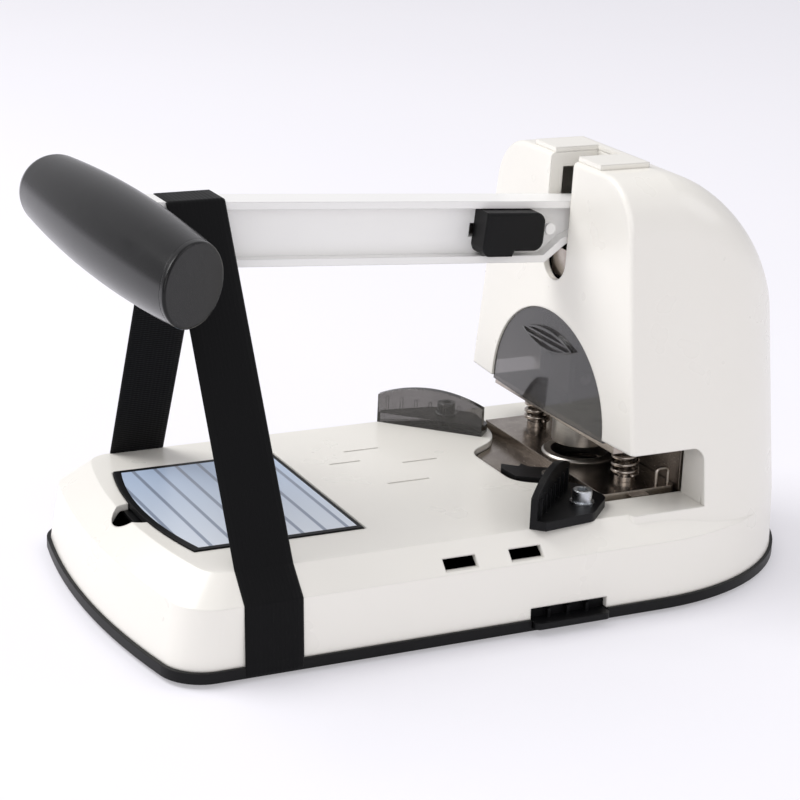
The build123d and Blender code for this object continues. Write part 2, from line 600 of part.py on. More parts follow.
yoke = yoke - web
for y in (slot_y0 + slot_h / 2, slot_y1 - slot_h / 2):
    yoke = yoke - axle(-20, 20, y, slot_mid, slot_h / 2)
for y, z in rivet_spots:
    yoke = yoke - axle(-20, 20, y, z, 2.0)
save("lever_yoke", yoke)
yoke_rivets = []
for y, z in rivet_spots:
    shaft = axle(-yoke_out, yoke_out, y, z, 1.95)
    for side in (1, -1):
        x0, x1 = sorted((side * yoke_out, side * (yoke_out + 0.9)))
        shaft = shaft + axle(x0, x1, y, z, 3.2)
    yoke_rivets.append(shaft)
save("yoke_rivets", *yoke_rivets)

# ---------------------------------------------------------------- transport lock on the lever
lock_x0, lock_x1 = LEVER_WEB / 2 + 0.2, 14.5
inner_half = HALF_DEPTH - LEVER_FLANGE - 0.4
knob_low = -inner_half + 3.0
knob_outline = [
    along(LOCK_U0, knob_low), along(LOCK_U1 - 15, knob_low), along(LOCK_U1 - 14, knob_low - 2.4),
    along(LOCK_U1 - 1, knob_low - 2.4), along(LOCK_U1 + 0.5, knob_low + 1), along(LOCK_U1, inner_half),
    along(LOCK_U0, inner_half),
]
knob = side_plate(knob_outline, lock_x0, lock_x1)
uprights = knob.edges().filter_by(Axis.X)
knob = fillet(uprights.sort_by(Axis.Y)[-2:], 4.5)
knob = fillet(knob.edges().filter_by(Axis.X).sort_by(Axis.Y)[0:2], 3.0)
knob = fillet(knob.faces().sort_by(Axis.X)[-1].edges(), 1.4)
key = [
    along(LOCK_U0 + 8.5, slot_half - 0.3), along(LOCK_U1 - 8.5, slot_half - 0.3),
    along(LOCK_U1 - 8.5, -slot_half + 0.3), along(LOCK_U0 + 8.5, -slot_half + 0.3),
]
knob = knob + side_plate(key, -LEVER_WEB / 2 - 0.2, lock_x0)
save("lock_knob", knob)
strip = [along(LOCK_U0, 7), along(LOCK_U1 + 4, 7), along(LOCK_U1 + 4, -7), along(LOCK_U0, -7)]
save("lock_slide_plate", side_plate(strip, -LEVER_WEB / 2 - 1.8, -LEVER_WEB / 2 - 0.2))

# ---------------------------------------------------------------- T-handle
half_grip = GRIP_LENGTH / 2
cap_t = 3.0
rod_end = GRIP_CAP_X - GRIP_CAP_R
save("handle_rod", axle(GRIP_R_END - 4 - half_grip, rod_end, rod_y, rod_z, ROD_R - 0.02))
x_end = GRIP_CAP_X + GRIP_CAP_R
dome_x = -half_grip + GRIP_R_END
diagonal = GRIP_R_END * math.sqrt(0.5)
grip_profile = make_face([
    Line((-half_grip, 0), (x_end, 0)),
    Line((x_end, 0), (x_end, GRIP_CAP_R - 1.2)),
    ThreePointArc((x_end, GRIP_CAP_R - 1.2), (-4, GRIP_R_MID), (dome_x, GRIP_R_END)),
    ThreePointArc((dome_x, GRIP_R_END), (dome_x - diagonal, diagonal), (-half_grip, 0)),
])
grip_all = Pos(0, rod_y, rod_z) * revolve(grip_profile, Axis.X)
rake = Plane(
    origin=(GRIP_CAP_X, rod_y, rod_z), x_dir=(0, 0, 1),
    z_dir=(math.cos(math.radians(GRIP_RAKE)), math.sin(math.radians(GRIP_RAKE)), 0),
)
beyond = rake * Pos(0, 0, 40) * Box(90, 120, 80)
cap = (grip_all & (rake * Pos(0, 0, 40 - cap_t) * Box(90, 120, 80))) - beyond
cap = fillet(cap.edges().sort_by_distance(rake.origin + rake.z_dir * 30)[:1], 0.9)
grip_all = grip_all - (rake * Pos(0, 0, 40 - cap_t) * Box(90, 120, 80))
hole = axle(dome_x - 4, rod_end, rod_y, rod_z, ROD_R)
hole = hole + axle(rod_end - 1, GRIP_CAP_X + 5, rod_y, rod_z, 1.9)
pocket_end, pocket_half = LEVER_REACH + LEVER_NOSE + 0.02, HALF_DEPTH + 0.02
pocket = side_plate([
    along(LEVER_REACH - 40, pocket_half), along(pocket_end, pocket_half),
    along(pocket_end, -pocket_half), along(LEVER_REACH - 40, -pocket_half),
], -LEVER_HALF_W - 0.02, LEVER_HALF_W + 0.02)
save("grip_sleeve", grip_all - hole - pocket)
save("grip_end_cap", cap)
screw_end = GRIP_CAP_X - cap_t / math.cos(math.radians(GRIP_RAKE)) - 2.2
save("handle_screw", axle(rod_end, screw_end, rod_y, rod_z, 1.85))

# ---------------------------------------------------------------- ram
ram = block(-RAM_HALF_X, RAM_HALF_X, DIE_Y - RAM_HALF_Y, DIE_Y + RAM_HALF_Y, RAM_LOW, RAM_SHOULDER)
tongue_half = LEVER_HALF_W - 0.6
ram = ram + block(-tongue_half, tongue_half, DIE_Y - RAM_HALF_Y, DIE_Y + RAM_HALF_Y, RAM_SHOULDER, RAM_TOP)
ram = ram - axle(-20, 20, DIE_Y, DRIVE_PIN_Z, DRIVE_PIN_R)
TAB_Z = 108.0
ram = ram + block(-RAM_HALF_X + 1, RAM_HALF_X - 1, DIE_Y + RAM_HALF_Y, DIE_Y + 21, TAB_Z, TAB_Z + 6)
# T-slot in the foot of the ram takes the shank of the punch.
SHANK_NECK, SHANK_HEAD = 4.0, 7.0
slot_low, slot_high = RAM_LOW + 4, RAM_LOW + 9
ram = ram - block(-SHANK_NECK - FIT, SHANK_NECK + FIT, 0, DIE_Y + 4.6, RAM_LOW - 1, slot_low + 1)
ram = ram - block(-SHANK_HEAD - FIT, SHANK_HEAD + FIT, 0, DIE_Y + 4.6, slot_low, slot_high)
save("ram", ram)
save("ram_drive_pin", axle(-FRAME_IN + 0.3, FRAME_IN - 0.3, DIE_Y, DRIVE_PIN_Z, DRIVE_PIN_R - 0.02))
guide_screws = []
front_guide = block(-FRAME_IN, FRAME_IN, guide_front_y, guide_front_y + GUIDE_T, RAM_LOW, 106)
rear_guide = block(-FRAME_IN, FRAME_IN, guide_rear_y, guide_rear_y + GUIDE_T, RAM_LOW + 2, 100)
SPRING_SEAT = 84.0
rear_guide = rear_guide + block(-FRAME_IN, FRAME_IN, guide_rear_y, DIE_Y + 22, SPRING_SEAT - 4, SPRING_SEAT)
for y in (guide_front_y + GUIDE_T / 2, guide_rear_y + GUIDE_T / 2):
    for z in GUIDE_SCREW_Z:
        front_guide = front_guide - axle(-20, 20, y, z, 1.3)
        rear_guide = rear_guide - axle(-20, 20, y, z, 1.3)
        for side in (1, -1):
            x0, x1 = sorted((side * (FRAME_IN - 5), side * FRAME_OUT))
            h0, h1 = sorted((side * FRAME_OUT, side * (FRAME_OUT + 2)))
            guide_screws.append(axle(x0, x1, y, z, 1.25) + axle(h0, h1, y, z, 2.6))
save("ram_guide_front", front_guide)
save("ram_guide_rear", rear_guide)
save("guide_screws", *guide_screws)
save("ram_return_spring", spring(0, DIE_Y + 16, SPRING_SEAT + 0.1, TAB_Z - 0.1, 4.2, 0.6, 7))

# ---------------------------------------------------------------- die bed
bed = block(-DIE_HALF_X - 6, DIE_HALF_X + 6, 24, THROAT_REAR - 0.5, BED_TOP - BED_T, BED_TOP)
bed_bay = extrude(Pos(0, 0, BED_TOP - BED_T) * bay_face(-FIT), BED_T, dir=(0, 0, 1))
bed = bed & bed_bay
bed = bed - block(-14, 14, DIE_Y - 12, DIE_Y + 12, 0, 50)
for side in (1, -1):
    x0, x1 = sorted((side * (FRAME_OUT + 2), side * (DIE_HALF_X + 2)))
    bed = bed + block(x0, x1, THROAT_REAR - 2, THROAT_REAR + 1.5, BED_TOP - BED_T, BED_TOP)
    bed = bed + block(x0, x1, THROAT_REAR, THROAT_REAR + 1.5, BED_TOP - BED_T, THROAT_TOP + 4)
save("die_bed", bed)

# ---------------------------------------------------------------- die set
low = block(-DIE_HALF_X, DIE_HALF_X, DIE_FRONT_Y, DIE_REAR_Y, BED_TOP, DIE_LOW_TOP)
RING_R = 17.0
low = low - post(0, DIE_Y, 0, 60, RING_R)
low = fillet(low.edges().filter_by(Axis.Z).group_by(Axis.X)[-1], 2)
save("die_plate_lower", low)
ring = post(0, DIE_Y, BED_TOP, DIE_LOW_TOP + 1.0, RING_R - 0.02)
ring = ring - post(0, DIE_Y, 0, 60, PUNCH_R + DIE_CLEAR)
ring = chamfer(ring.edges().filter_by(GeomType.CIRCLE).group_by(Axis.Z)[-1].sort_by(SortBy.RADIUS)[-1], 0.8)
save("die_ring", ring)
POST_TOP = DIE_UP_Z + DIE_UP_T + 4
posts = []
for side in (1, -1):
    pillar = post(side * POST_X, DIE_Y, DIE_LOW_TOP, POST_TOP, POST_R)
    collar_z = DIE_LOW_TOP + 2.2
    posts.append(pillar + post(side * POST_X, DIE_Y, DIE_LOW_TOP, collar_z, 4.6))
save("die_posts", *posts)
for side, name in ((1, "die_spring_right"), (-1, "die_spring_left")):
    save(name, spring(side * POST_X, DIE_Y, DIE_LOW_TOP + 2.3, DIE_UP_Z - 0.1, 5.4, 0.9, 4))
up = block(-DIE_HALF_X, DIE_HALF_X, DIE_FRONT_Y + 4, DIE_REAR_Y - 1, DIE_UP_Z, DIE_UP_Z + DIE_UP_T)
for side in (1, -1):
    up = up - post(side * POST_X, DIE_Y, 0, 90, POST_R + RUN)
up = up - post(0, DIE_Y, 0, 90, 8)
save("die_plate_upper", up)
punch = post(0, DIE_Y, PUNCH_TIP_Z, DIE_UP_Z, PUNCH_R)
punch = punch - post(0, DIE_Y, PUNCH_TIP_Z - 1, PUNCH_TIP_Z + 1.5, PUNCH_R - 3)
punch = punch + post(0, DIE_Y, DIE_UP_Z, DIE_UP_Z + DIE_UP_T, 7.98)
save("punch", punch)
shank = post(0, DIE_Y, DIE_UP_Z + DIE_UP_T, slot_low + FIT, SHANK_NECK)
shank = shank + (post(0, DIE_Y, slot_low + FIT, slot_high - FIT, SHANK_HEAD) & block(-20, 20, DIE_Y - 5, DIE_Y + 4.5, 0, 99))
shank = shank + post(0, DIE_Y, DIE_UP_Z + DIE_UP_T, DIE_UP_Z + DIE_UP_T + 2.5, 9.0)
save("punch_shank", shank)

# Wire staple at the right end, used to draw the die set out.
STAPLE_X, STAPLE_Y = DIE_HALF_X - 2.5, 84.0
staple_path = FilletPolyline(
    (STAPLE_X, STAPLE_Y - 3, DIE_LOW_TOP), (STAPLE_X, STAPLE_Y - 3, DIE_LOW_TOP + 7.5),
    (STAPLE_X, STAPLE_Y + 3, DIE_LOW_TOP + 7.5), (STAPLE_X, STAPLE_Y + 3, DIE_LOW_TOP), radius=1.8,
)
staple = sweep(Plane(origin=staple_path @ 0, z_dir=staple_path % 0) * Circle(0.9), path=staple_path)
save("die_staple", staple)
clip = block(DIE_HALF_X + 0.02, DIE_HALF_X + 2.2, 66, 75, BED_TOP, BED_TOP + 3.4)
save("die_edge_clip", clip)

# ---------------------------------------------------------------- die latch
LATCH_X, LATCH_Y = 22.0, 46.0
LATCH_Z = BED_TOP + 1.2
LATCH_T = 3.2
latch_face = make_face(Polyline(
    (25.5, 50), (25, 40), (18, 29.5), (6, 28.5), (1.5, 31), (7, 37), (4.5, 39.5), (9, 41), (13, 48),
    (18, 50.5), close=True,
))
latch = extrude(Pos(0, 0, LATCH_Z) * latch_face, LATCH_T, dir=(0, 0, 1))
latch = latch - post(LATCH_X, LATCH_Y - 2, 0, 60, 2.0 + RUN)
save("die_latch", latch)
latch_pin = post(LATCH_X, LATCH_Y - 2, BED_TOP, LATCH_Z + LATCH_T + 0.3, 2.0)
latch_pin = latch_pin + post(LATCH_X, LATCH_Y - 2, LATCH_Z + LATCH_T + 0.3, LATCH_Z + LATCH_T + 1.3, 3.4)
latch_pin = latch_pin + post(LATCH_X, LATCH_Y - 2, BED_TOP, LATCH_Z - 0.2, 3.4)
save("latch_pin", latch_pin)


# ---------------------------------------------------------------- fences
def fence():
    """Right-hand fence: arched upright plate, foot behind it, ribs on its back."""
    arch = make_face([
        Line((0, 0), (FENCE_LENGTH, 0)),
        Line((FENCE_LENGTH, 0), (FENCE_LENGTH, FENCE_END_H)),
        ThreePointArc(
            (FENCE_LENGTH, FENCE_END_H), (FENCE_LENGTH * 0.52, FENCE_MID_H), (0, FENCE_END_H)
        ),
        Line((0, FENCE_END_H), (0, 0)),
    ])
    upright = extrude(Plane.XZ * arch, FENCE_T, dir=(0, 1, 0))
    foot_face = make_face(Polyline(
        (0, 0), (FENCE_LENGTH, 0), (FENCE_LENGTH, 9), (41, FENCE_FOOT), (20, FENCE_FOOT), (0, 7),
        close=True,
    ))
    foot = fillet(foot_face.vertices().sort_by(Axis.Y)[-2:], 6)
    body = upright + extrude(foot, FENCE_FOOT_T, dir=(0, 0, 1))
    for i in range(7):
        x = 4 + i * 7.0
        body = body + block(x - 0.6, x + 0.6, FENCE_T, FENCE_T + 1.0, 0, FENCE_END_H - 1)
    return body - post(SCREW_ALONG, SCREW_OUT, -1, 20, FENCE_SCREW_R + FIT)


place = Plane(
    origin=(FENCE_NEAR[0], FENCE_NEAR[1], DECK_Z), x_dir=(*FENCE_DIR, 0), z_dir=(0, 0, 1)
)
# The local Y of this plane points forward and inward, so the fence is mirrored onto the outer side.
right_fence = place * mirror(fence(), about=Plane.XZ)
save("fence_right", right_fence)
save("fence_left", mirror_x(right_fence))
foot_top = DECK_Z + FENCE_FOOT_T
f_screws, f_washers, f_nuts = [], [], []
for side in (1, -1):
    x, y = side * SCREW_X, SCREW_Y
    washer = post(x, y, foot_top, foot_top + 1.0, 5.2) - post(x, y, 0, 90, FENCE_SCREW_R + 0.1)
    f_washers.append(washer)
    cap_screw = post(x, y, foot_top + 1.0, foot_top + 6.0, 4.25)
    cap_screw = fillet(cap_screw.edges().sort_by(Axis.Z)[-1], 0.5)
    socket = Pos(x, y, foot_top + 3.4) * extrude(RegularPolygon(2.0, 6, major_radius=False), 5)
    cap_screw = cap_screw + post(x, y, DECK_Z - 12, foot_top + 1.0, FENCE_SCREW_R) - socket
    f_screws.append(cap_screw)
    nut_face = Pos(x, y, DECK_Z - WALL - 4) * RegularPolygon(4.0, 6, major_radius=False)
    f_nuts.append(extrude(nut_face, 4, dir=(0, 0, 1)) - post(x, y, 0, 60, FENCE_SCREW_R + 0.02))
save("fence_screws", *f_screws)
save("fence_washers", *f_washers)
save("fence_nuts", *f_nuts)


# ---------------------------------------------------------------- carrying strap
def strap_station(point, before, after, y_mid):
    """Section of the webbing at a corner of its loop, on the mitre of two runs."""
    n1 = (-before[1], before[0])
    n2 = (-after[1], after[0])
    share = 1 + n1[0] * n2[0] + n1[1] * n2[1]
    out = ((n1[0] + n2[0]) / share * STRAP_T, (n1[1] + n2[1]) / share * STRAP_T)
    y0, y1 = y_mid - STRAP_W / 2, y_mid + STRAP_W / 2
    x, z = point
    corners = [(x, y0, z), (x, y1, z), (x + out[0], y1, z + out[1]), (x + out[0], y0, z + out[1])]
    return Face(Wire.make_polygon(corners, close=True))


def heading(a, b):
    """Unit vector from a to b."""
    length = math.dist(a, b)
    return ((b[0] - a[0]) / length, (b[1] - a[1]) / length)


STRAP_GAP = 0.4
strap_top_z = along(PIVOT_Y - STRAP_LEVER_Y + STRAP_W / 2, HALF_DEPTH)[1] + STRAP_GAP
deck_corner_x = BASE_WIDTH / 2 - 2.6 - BEVEL_INSET
loop = [
    (0, strap_top_z),
    (LEVER_HALF_W + 0.8, strap_top_z),
    (deck_corner_x + STRAP_GAP, DECK_Z + STRAP_GAP),
    (BASE_WIDTH / 2 - 2.6 + 2 * STRAP_GAP, BEVEL_Z + STRAP_GAP),
    (BASE_WIDTH / 2 + STRAP_GAP, SHELL_Z + 1.5),
    (BASE_WIDTH / 2 + STRAP_GAP, RIM_Z - 0.2),
    (0, RIM_Z - 0.2),
]
loop_y = [STRAP_LEVER_Y, STRAP_LEVER_Y] + [STRAP_BASE_Y] * 5
headings = [heading(loop[i], loop[i + 1]) for i in range(len(loop) - 1)]
headings = [headings[0], *headings, headings[-1]]
stations = [
    strap_station(loop[i], headings[i], headings[i + 1], loop_y[i]) for i in range(len(loop))
]
half_strap = loft([stations[0], stations[1]], ruled=True)
for i in range(1, len(stations) - 1):
    half_strap = half_strap + loft([stations[i], stations[i + 1]], ruled=True)
save("strap", half_strap + mirror_x(half_strap))
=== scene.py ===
import math

import bmesh
import bpy
from mathutils import Matrix, Vector


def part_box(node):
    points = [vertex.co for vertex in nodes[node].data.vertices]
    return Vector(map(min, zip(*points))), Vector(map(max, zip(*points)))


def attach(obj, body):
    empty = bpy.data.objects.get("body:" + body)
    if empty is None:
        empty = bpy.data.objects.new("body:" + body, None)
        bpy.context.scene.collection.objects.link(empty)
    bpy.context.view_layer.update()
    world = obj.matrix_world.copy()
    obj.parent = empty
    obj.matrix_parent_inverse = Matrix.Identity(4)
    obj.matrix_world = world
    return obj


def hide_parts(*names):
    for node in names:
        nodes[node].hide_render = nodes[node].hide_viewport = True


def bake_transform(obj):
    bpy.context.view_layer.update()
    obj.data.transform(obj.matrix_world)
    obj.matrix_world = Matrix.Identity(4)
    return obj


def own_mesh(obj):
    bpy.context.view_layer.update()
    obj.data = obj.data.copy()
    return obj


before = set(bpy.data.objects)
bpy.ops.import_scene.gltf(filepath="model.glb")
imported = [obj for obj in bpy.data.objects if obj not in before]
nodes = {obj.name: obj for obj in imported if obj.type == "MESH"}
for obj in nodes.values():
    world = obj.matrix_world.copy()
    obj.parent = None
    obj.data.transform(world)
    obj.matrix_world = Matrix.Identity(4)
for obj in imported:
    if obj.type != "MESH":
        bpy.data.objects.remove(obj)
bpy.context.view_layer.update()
MM = 0.001


# Base plate: one moulding of black ABS that closes the machine from below.
# Its rim shows as a thin dark line under the housing, and six screws hold it.
def linear(hex_colour):
    """sRGB hex to the linear colour that the shaders work in."""
    values = [int(hex_colour[i:i + 2], 16) / 255 for i in (1, 3, 5)]
    return [*(v / 12.92 if v <= 0.04045 else ((v + 0.055) / 1.055) ** 2.4 for v in values), 1.0]


def start(name):
    """A material by name, with its node tree and its surface shader."""
    material = bpy.data.materials.new(name)
    material.use_nodes = True
    tree = material.node_tree
    return material, tree, tree.nodes["Principled BSDF"]


def add(tree, kind, inputs=None, **settings):
    """One shader node with its settings; an input takes a number, a colour or another node's output."""
    made = tree.nodes.new("ShaderNode" + kind)
    for name, value in settings.items():
        setattr(made, name, value)
    for name, value in (inputs or {}).items():
        if isinstance(value, bpy.types.NodeSocket):
            tree.links.new(value, made.inputs[name])
        else:
            made.inputs[name].default_value = value
    return made


def paint(material, *names):
    """Gives carried-over pieces of the frame their finish."""
    for name in names:
        mesh = nodes[name].data
        mesh.materials.clear()
        mesh.materials.append(material)


def black_abs_spark_eroded():
    """Black ABS from a spark-eroded mould: a fine even grain that breaks the shine into a soft satin."""
    material, tree, shader = start("black_abs_spark_eroded")
    shader.inputs["Specular IOR Level"].default_value = 0.18
    shader.inputs["IOR"].default_value = 1.53
    place = add(tree, "TexCoord")
    grain_mm = 0.45
    grain = add(tree, "TexNoise", {
        "Vector": place.outputs["Object"], "Scale": 1 / (grain_mm * MM), "Detail": 2.0,
    })
    cloud_mm = 40.0
    cloud = add(tree, "TexNoise", {
        "Vector": place.outputs["Object"], "Scale": 1 / (cloud_mm * MM), "Detail": 3.0,
    })
    tone = add(tree, "Mix", {"Factor": cloud.outputs["Fac"], "A": linear("#08080A"), "B": linear("#0E0E0F")},
               data_type="RGBA")
    tree.links.new(tone.outputs["Result"], shader.inputs["Base Color"])
    gloss = add(tree, "MapRange", {"Value": cloud.outputs["Fac"], "To Min": 0.36, "To Max": 0.50})
    tree.links.new(gloss.outputs["Result"], shader.inputs["Roughness"])
    edge = add(tree, "Bevel", {"Radius": 0.5 * MM}, samples=4)
    bump = add(tree, "Bump", {"Height": grain.outputs["Fac"], "Distance": 0.02 * MM, "Strength": 0.6,
                              "Normal": edge.outputs["Normal"]})
    tree.links.new(bump.outputs["Normal"], shader.inputs["Normal"])
    return material


black_abs = black_abs_spark_eroded()
paint(black_abs, "base_plate")


# Rubber feet: five soft moulded pads, pressed into round seats under the base.
# Black nitrile rubber, dull, with a little grey bloom on it.
def nitrile_rubber_moulded():
    """Moulded nitrile rubber: nearly no shine, and a faint grey bloom in patches."""
    material, tree, shader = start("nitrile_rubber_moulded")
    shader.inputs["IOR"].default_value = 1.52
    place = add(tree, "TexCoord")
    bloom = add(tree, "TexNoise", {"Vector": place.outputs["Object"], "Scale": 1 / (6 * MM), "Detail": 4.0})
    tone = add(tree, "Mix", {"Factor": bloom.outputs["Fac"], "A": linear("#1B1B1B"), "B": linear("#2E2D2C")},
               data_type="RGBA")
    tree.links.new(tone.outputs["Result"], shader.inputs["Base Color"])
    shader.inputs["Roughness"].default_value = 0.85
    bump = add(tree, "Bump", {"Height": bloom.outputs["Fac"], "Distance": 0.05 * MM, "Strength": 0.4})
    tree.links.new(bump.outputs["Normal"], shader.inputs["Normal"])
    return material


paint(nitrile_rubber_moulded(), "rubber_feet")


# Housing: paper table and head in one moulding of warm white ABS.
# It is polished in the mould, so it is glossy with a very slight waviness over its ribs and bosses.
def white_abs_polished():
    """White ABS from a polished mould: crisp reflections that wander slightly, warm where it is thick."""
    material, tree, shader = start("white_abs_polished")
    shader.inputs["IOR"].default_value = 1.54
    shader.inputs["Coat Weight"].default_value = 0.12
    shader.inputs["Coat Roughness"].default_value = 0.12
    place = add(tree, "TexCoord")
    cloud = add(tree, "TexNoise", {"Vector": place.outputs["Object"], "Scale": 1 / (70 * MM), "Detail": 3.0})
    tone = add(tree, "Mix", {"Factor": cloud.outputs["Fac"], "A": linear("#F0EDE5"), "B": linear("#F4F1EA")},
               data_type="RGBA")
    tree.links.new(tone.outputs["Result"], shader.inputs["Base Color"])
    handled = add(tree, "TexNoise", {"Vector": place.outputs["Object"], "Scale": 1 / (18 * MM), "Detail": 2.0,
                                     "Roughness": 0.5})
    gloss = add(tree, "MapRange", {"Value": handled.outputs["Fac"], "From Min": 0.3, "From Max": 0.7,
                                   "To Min": 0.27, "To Max": 0.31})
    tree.links.new(gloss.outputs["Result"], shader.inputs["Roughness"])
    sink_mm, peel_mm = 14.0, 0.9
    sink = add(tree, "TexNoise", {
        "Vector": place.outputs["Object"], "Scale": 1 / (sink_mm * MM), "Detail": 1.0,
    })
    peel = add(tree, "TexNoise", {
        "Vector": place.outputs["Object"], "Scale": 1 / (peel_mm * MM), "Detail": 2.0,
    })
    edge = add(tree, "Bevel", {"Radius": 1.1 * MM}, samples=6)
    waves = add(tree, "Bump", {"Height": sink.outputs["Fac"], "Distance": 0.05 * MM, "Strength": 0.5,
                               "Normal": edge.outputs["Normal"]})
    bump = add(tree, "Bump", {"Height": peel.outputs["Fac"], "Distance": 0.004 * MM, "Strength": 0.5,
                              "Normal": waves.outputs["Normal"]})
    tree.links.new(bump.outputs["Normal"], shader.inputs["Normal"])
    return material


white_abs = white_abs_polished()
paint(white_abs, "housing_shell", "slot_collar")


# Steel frame: two thick plates inside the head, kept apart by four tubes and bolts.
# Hot-rolled steel, phosphated black and oiled; angle feet carry it on the base plate.
def steel_phosphated():
    """Phosphated steel: dark grey crystals under oil, a dull metal shine with lighter worn patches."""
    material, tree, shader = start("steel_phosphated")
    shader.inputs["Metallic"].default_value = 1.0
    place = add(tree, "TexCoord")
    crystal_mm = 0.8
    crystal = add(tree, "TexNoise", {
        "Vector": place.outputs["Object"], "Scale": 1 / (crystal_mm * MM), "Detail": 6.0,
    })
    tone = add(tree, "Mix", {
        "Factor": crystal.outputs["Fac"], "A": linear("#2C2B2C"), "B": linear("#4B494A"),
    }, data_type="RGBA")
    tree.links.new(tone.outputs["Result"], shader.inputs["Base Color"])
    gloss = add(tree, "MapRange", {"Value": crystal.outputs["Fac"], "To Min": 0.34, "To Max": 0.62})
    tree.links.new(gloss.outputs["Result"], shader.inputs["Roughness"])
    bump = add(tree, "Bump", {"Height": crystal.outputs["Fac"], "Distance": 0.02 * MM, "Strength": 0.5})
    tree.links.new(bump.outputs["Normal"], shader.inputs["Normal"])
    return material


phosphated = steel_phosphated()
paint(phosphated, "frame_plate_left", "frame_plate_right", "frame_spacers", "frame_feet", "punch_shank")


# Screws, bolts, nuts and washers: stock fasteners of zinc-plated steel.
# They hold the frame, the base plate, the ram guides and the two fences.
def steel_zinc_plated():
    """Zinc plate with a clear passivation: bright and bluish, slightly cloudy, finely crystalline."""
    material, tree, shader = start("steel_zinc_plated")
    shader.inputs["Metallic"].default_value = 1.0
    place = add(tree, "TexCoord")
    cloud = add(tree, "TexNoise", {"Vector": place.outputs["Object"], "Scale": 1 / (2.5 * MM), "Detail": 5.0})
    tone = add(tree, "Mix", {"Factor": cloud.outputs["Fac"], "A": linear("#B4B8BC"), "B": linear("#DADDE0")},
               data_type="RGBA")
    tree.links.new(tone.outputs["Result"], shader.inputs["Base Color"])
    gloss = add(tree, "MapRange", {"Value": cloud.outputs["Fac"], "To Min": 0.18, "To Max": 0.40})
    tree.links.new(gloss.outputs["Result"], shader.inputs["Roughness"])
    edge = add(tree, "Bevel", {"Radius": 0.25 * MM}, samples=4)
    bump = add(tree, "Bump", {"Height": cloud.outputs["Fac"], "Distance": 0.01 * MM, "Strength": 0.4,
                              "Normal": edge.outputs["Normal"]})
    tree.links.new(bump.outputs["Normal"], shader.inputs["Normal"])
    return material


zinc = steel_zinc_plated()
paint(zinc, "frame_bolts", "frame_nuts", "base_screws", "frame_foot_screws", "guide_screws",
      "fence_screws", "fence_washers", "fence_nuts", "handle_screw", "pivot_clips")


# Pivot, handle rod and ram: bar ground to size, with the lathe and grinder marks left on it.
# The lever turns on the pin in a bush, and the ram slides between two guide plates.
def steel_ground():
    """Ground bar: fine parallel scratches that stretch the highlight across them."""
    material, tree, shader = start("steel_ground")
    shader.inputs["Metallic"].default_value = 1.0
    shader.inputs["Anisotropic"].default_value = 0.4
    place = add(tree, "TexCoord")
    scratch_mm, stretch = 0.15, 30.0
    lay = add(tree, "Mapping", {"Vector": place.outputs["Object"], "Scale": (1.0, 1.0, stretch)})
    marks = add(tree, "TexNoise", {
        "Vector": lay.outputs["Vector"], "Scale": 1 / (scratch_mm * stretch * MM), "Detail": 4.0,
    })
    tone = add(tree, "Mix", {"Factor": marks.outputs["Fac"], "A": linear("#8C8782"), "B": linear("#B9B5AF")},
               data_type="RGBA")
    tree.links.new(tone.outputs["Result"], shader.inputs["Base Color"])
    gloss = add(tree, "MapRange", {"Value": marks.outputs["Fac"], "To Min": 0.22, "To Max": 0.42})
    tree.links.new(gloss.outputs["Result"], shader.inputs["Roughness"])
    edge = add(tree, "Bevel", {"Radius": 0.3 * MM}, samples=4)
    bump = add(tree, "Bump", {"Height": marks.outputs["Fac"], "Distance": 0.01 * MM, "Strength": 0.5,
                              "Normal": edge.outputs["Normal"]})
    tree.links.new(bump.outputs["Normal"], shader.inputs["Normal"])
    return material


ground = steel_ground()
paint(ground, "pivot_pin", "handle_rod", "ram", "ram_drive_pin", "ram_guide_front", "ram_guide_rear",
      "die_ring", "punch", "lock_slide_plate", "latch_pin")


# Pivot bush: a plain bearing pressed into the lever, turned from bronze.
# It only shows as a thin ring at each side of the lever.
def bronze_turned():
    """Turned bronze: warm brown yellow with fine lathe rings and a little tarnish."""
    material, tree, shader = start("bronze_turned")
    shader.inputs["Metallic"].default_value = 1.0
    place = add(tree, "TexCoord")
    tarnish = add(tree, "TexNoise", {"Vector": place.outputs["Object"], "Scale": 1 / (3 * MM), "Detail": 4.0})
    tone = add(tree, "Mix", {
        "Factor": tarnish.outputs["Fac"], "A": linear("#8A6A3A"), "B": linear("#C09A5A"),
    }, data_type="RGBA")
    tree.links.new(tone.outputs["Result"], shader.inputs["Base Color"])
    shader.inputs["Roughness"].default_value = 0.34
    ring_mm = 0.8 * math.pi  # pitch of the lathe rings
    rings = add(tree, "TexWave", {
        "Vector": place.outputs["Object"], "Scale": 2 * math.pi / (20 * ring_mm * MM),
    }, bands_direction="X")
    bump = add(tree, "Bump", {"Height": rings.outputs["Fac"], "Distance": 0.01 * MM, "Strength": 0.3})
    tree.links.new(bump.outputs["Normal"], shader.inputs["Normal"])
    return material


paint(bronze_turned(), "pivot_bush")


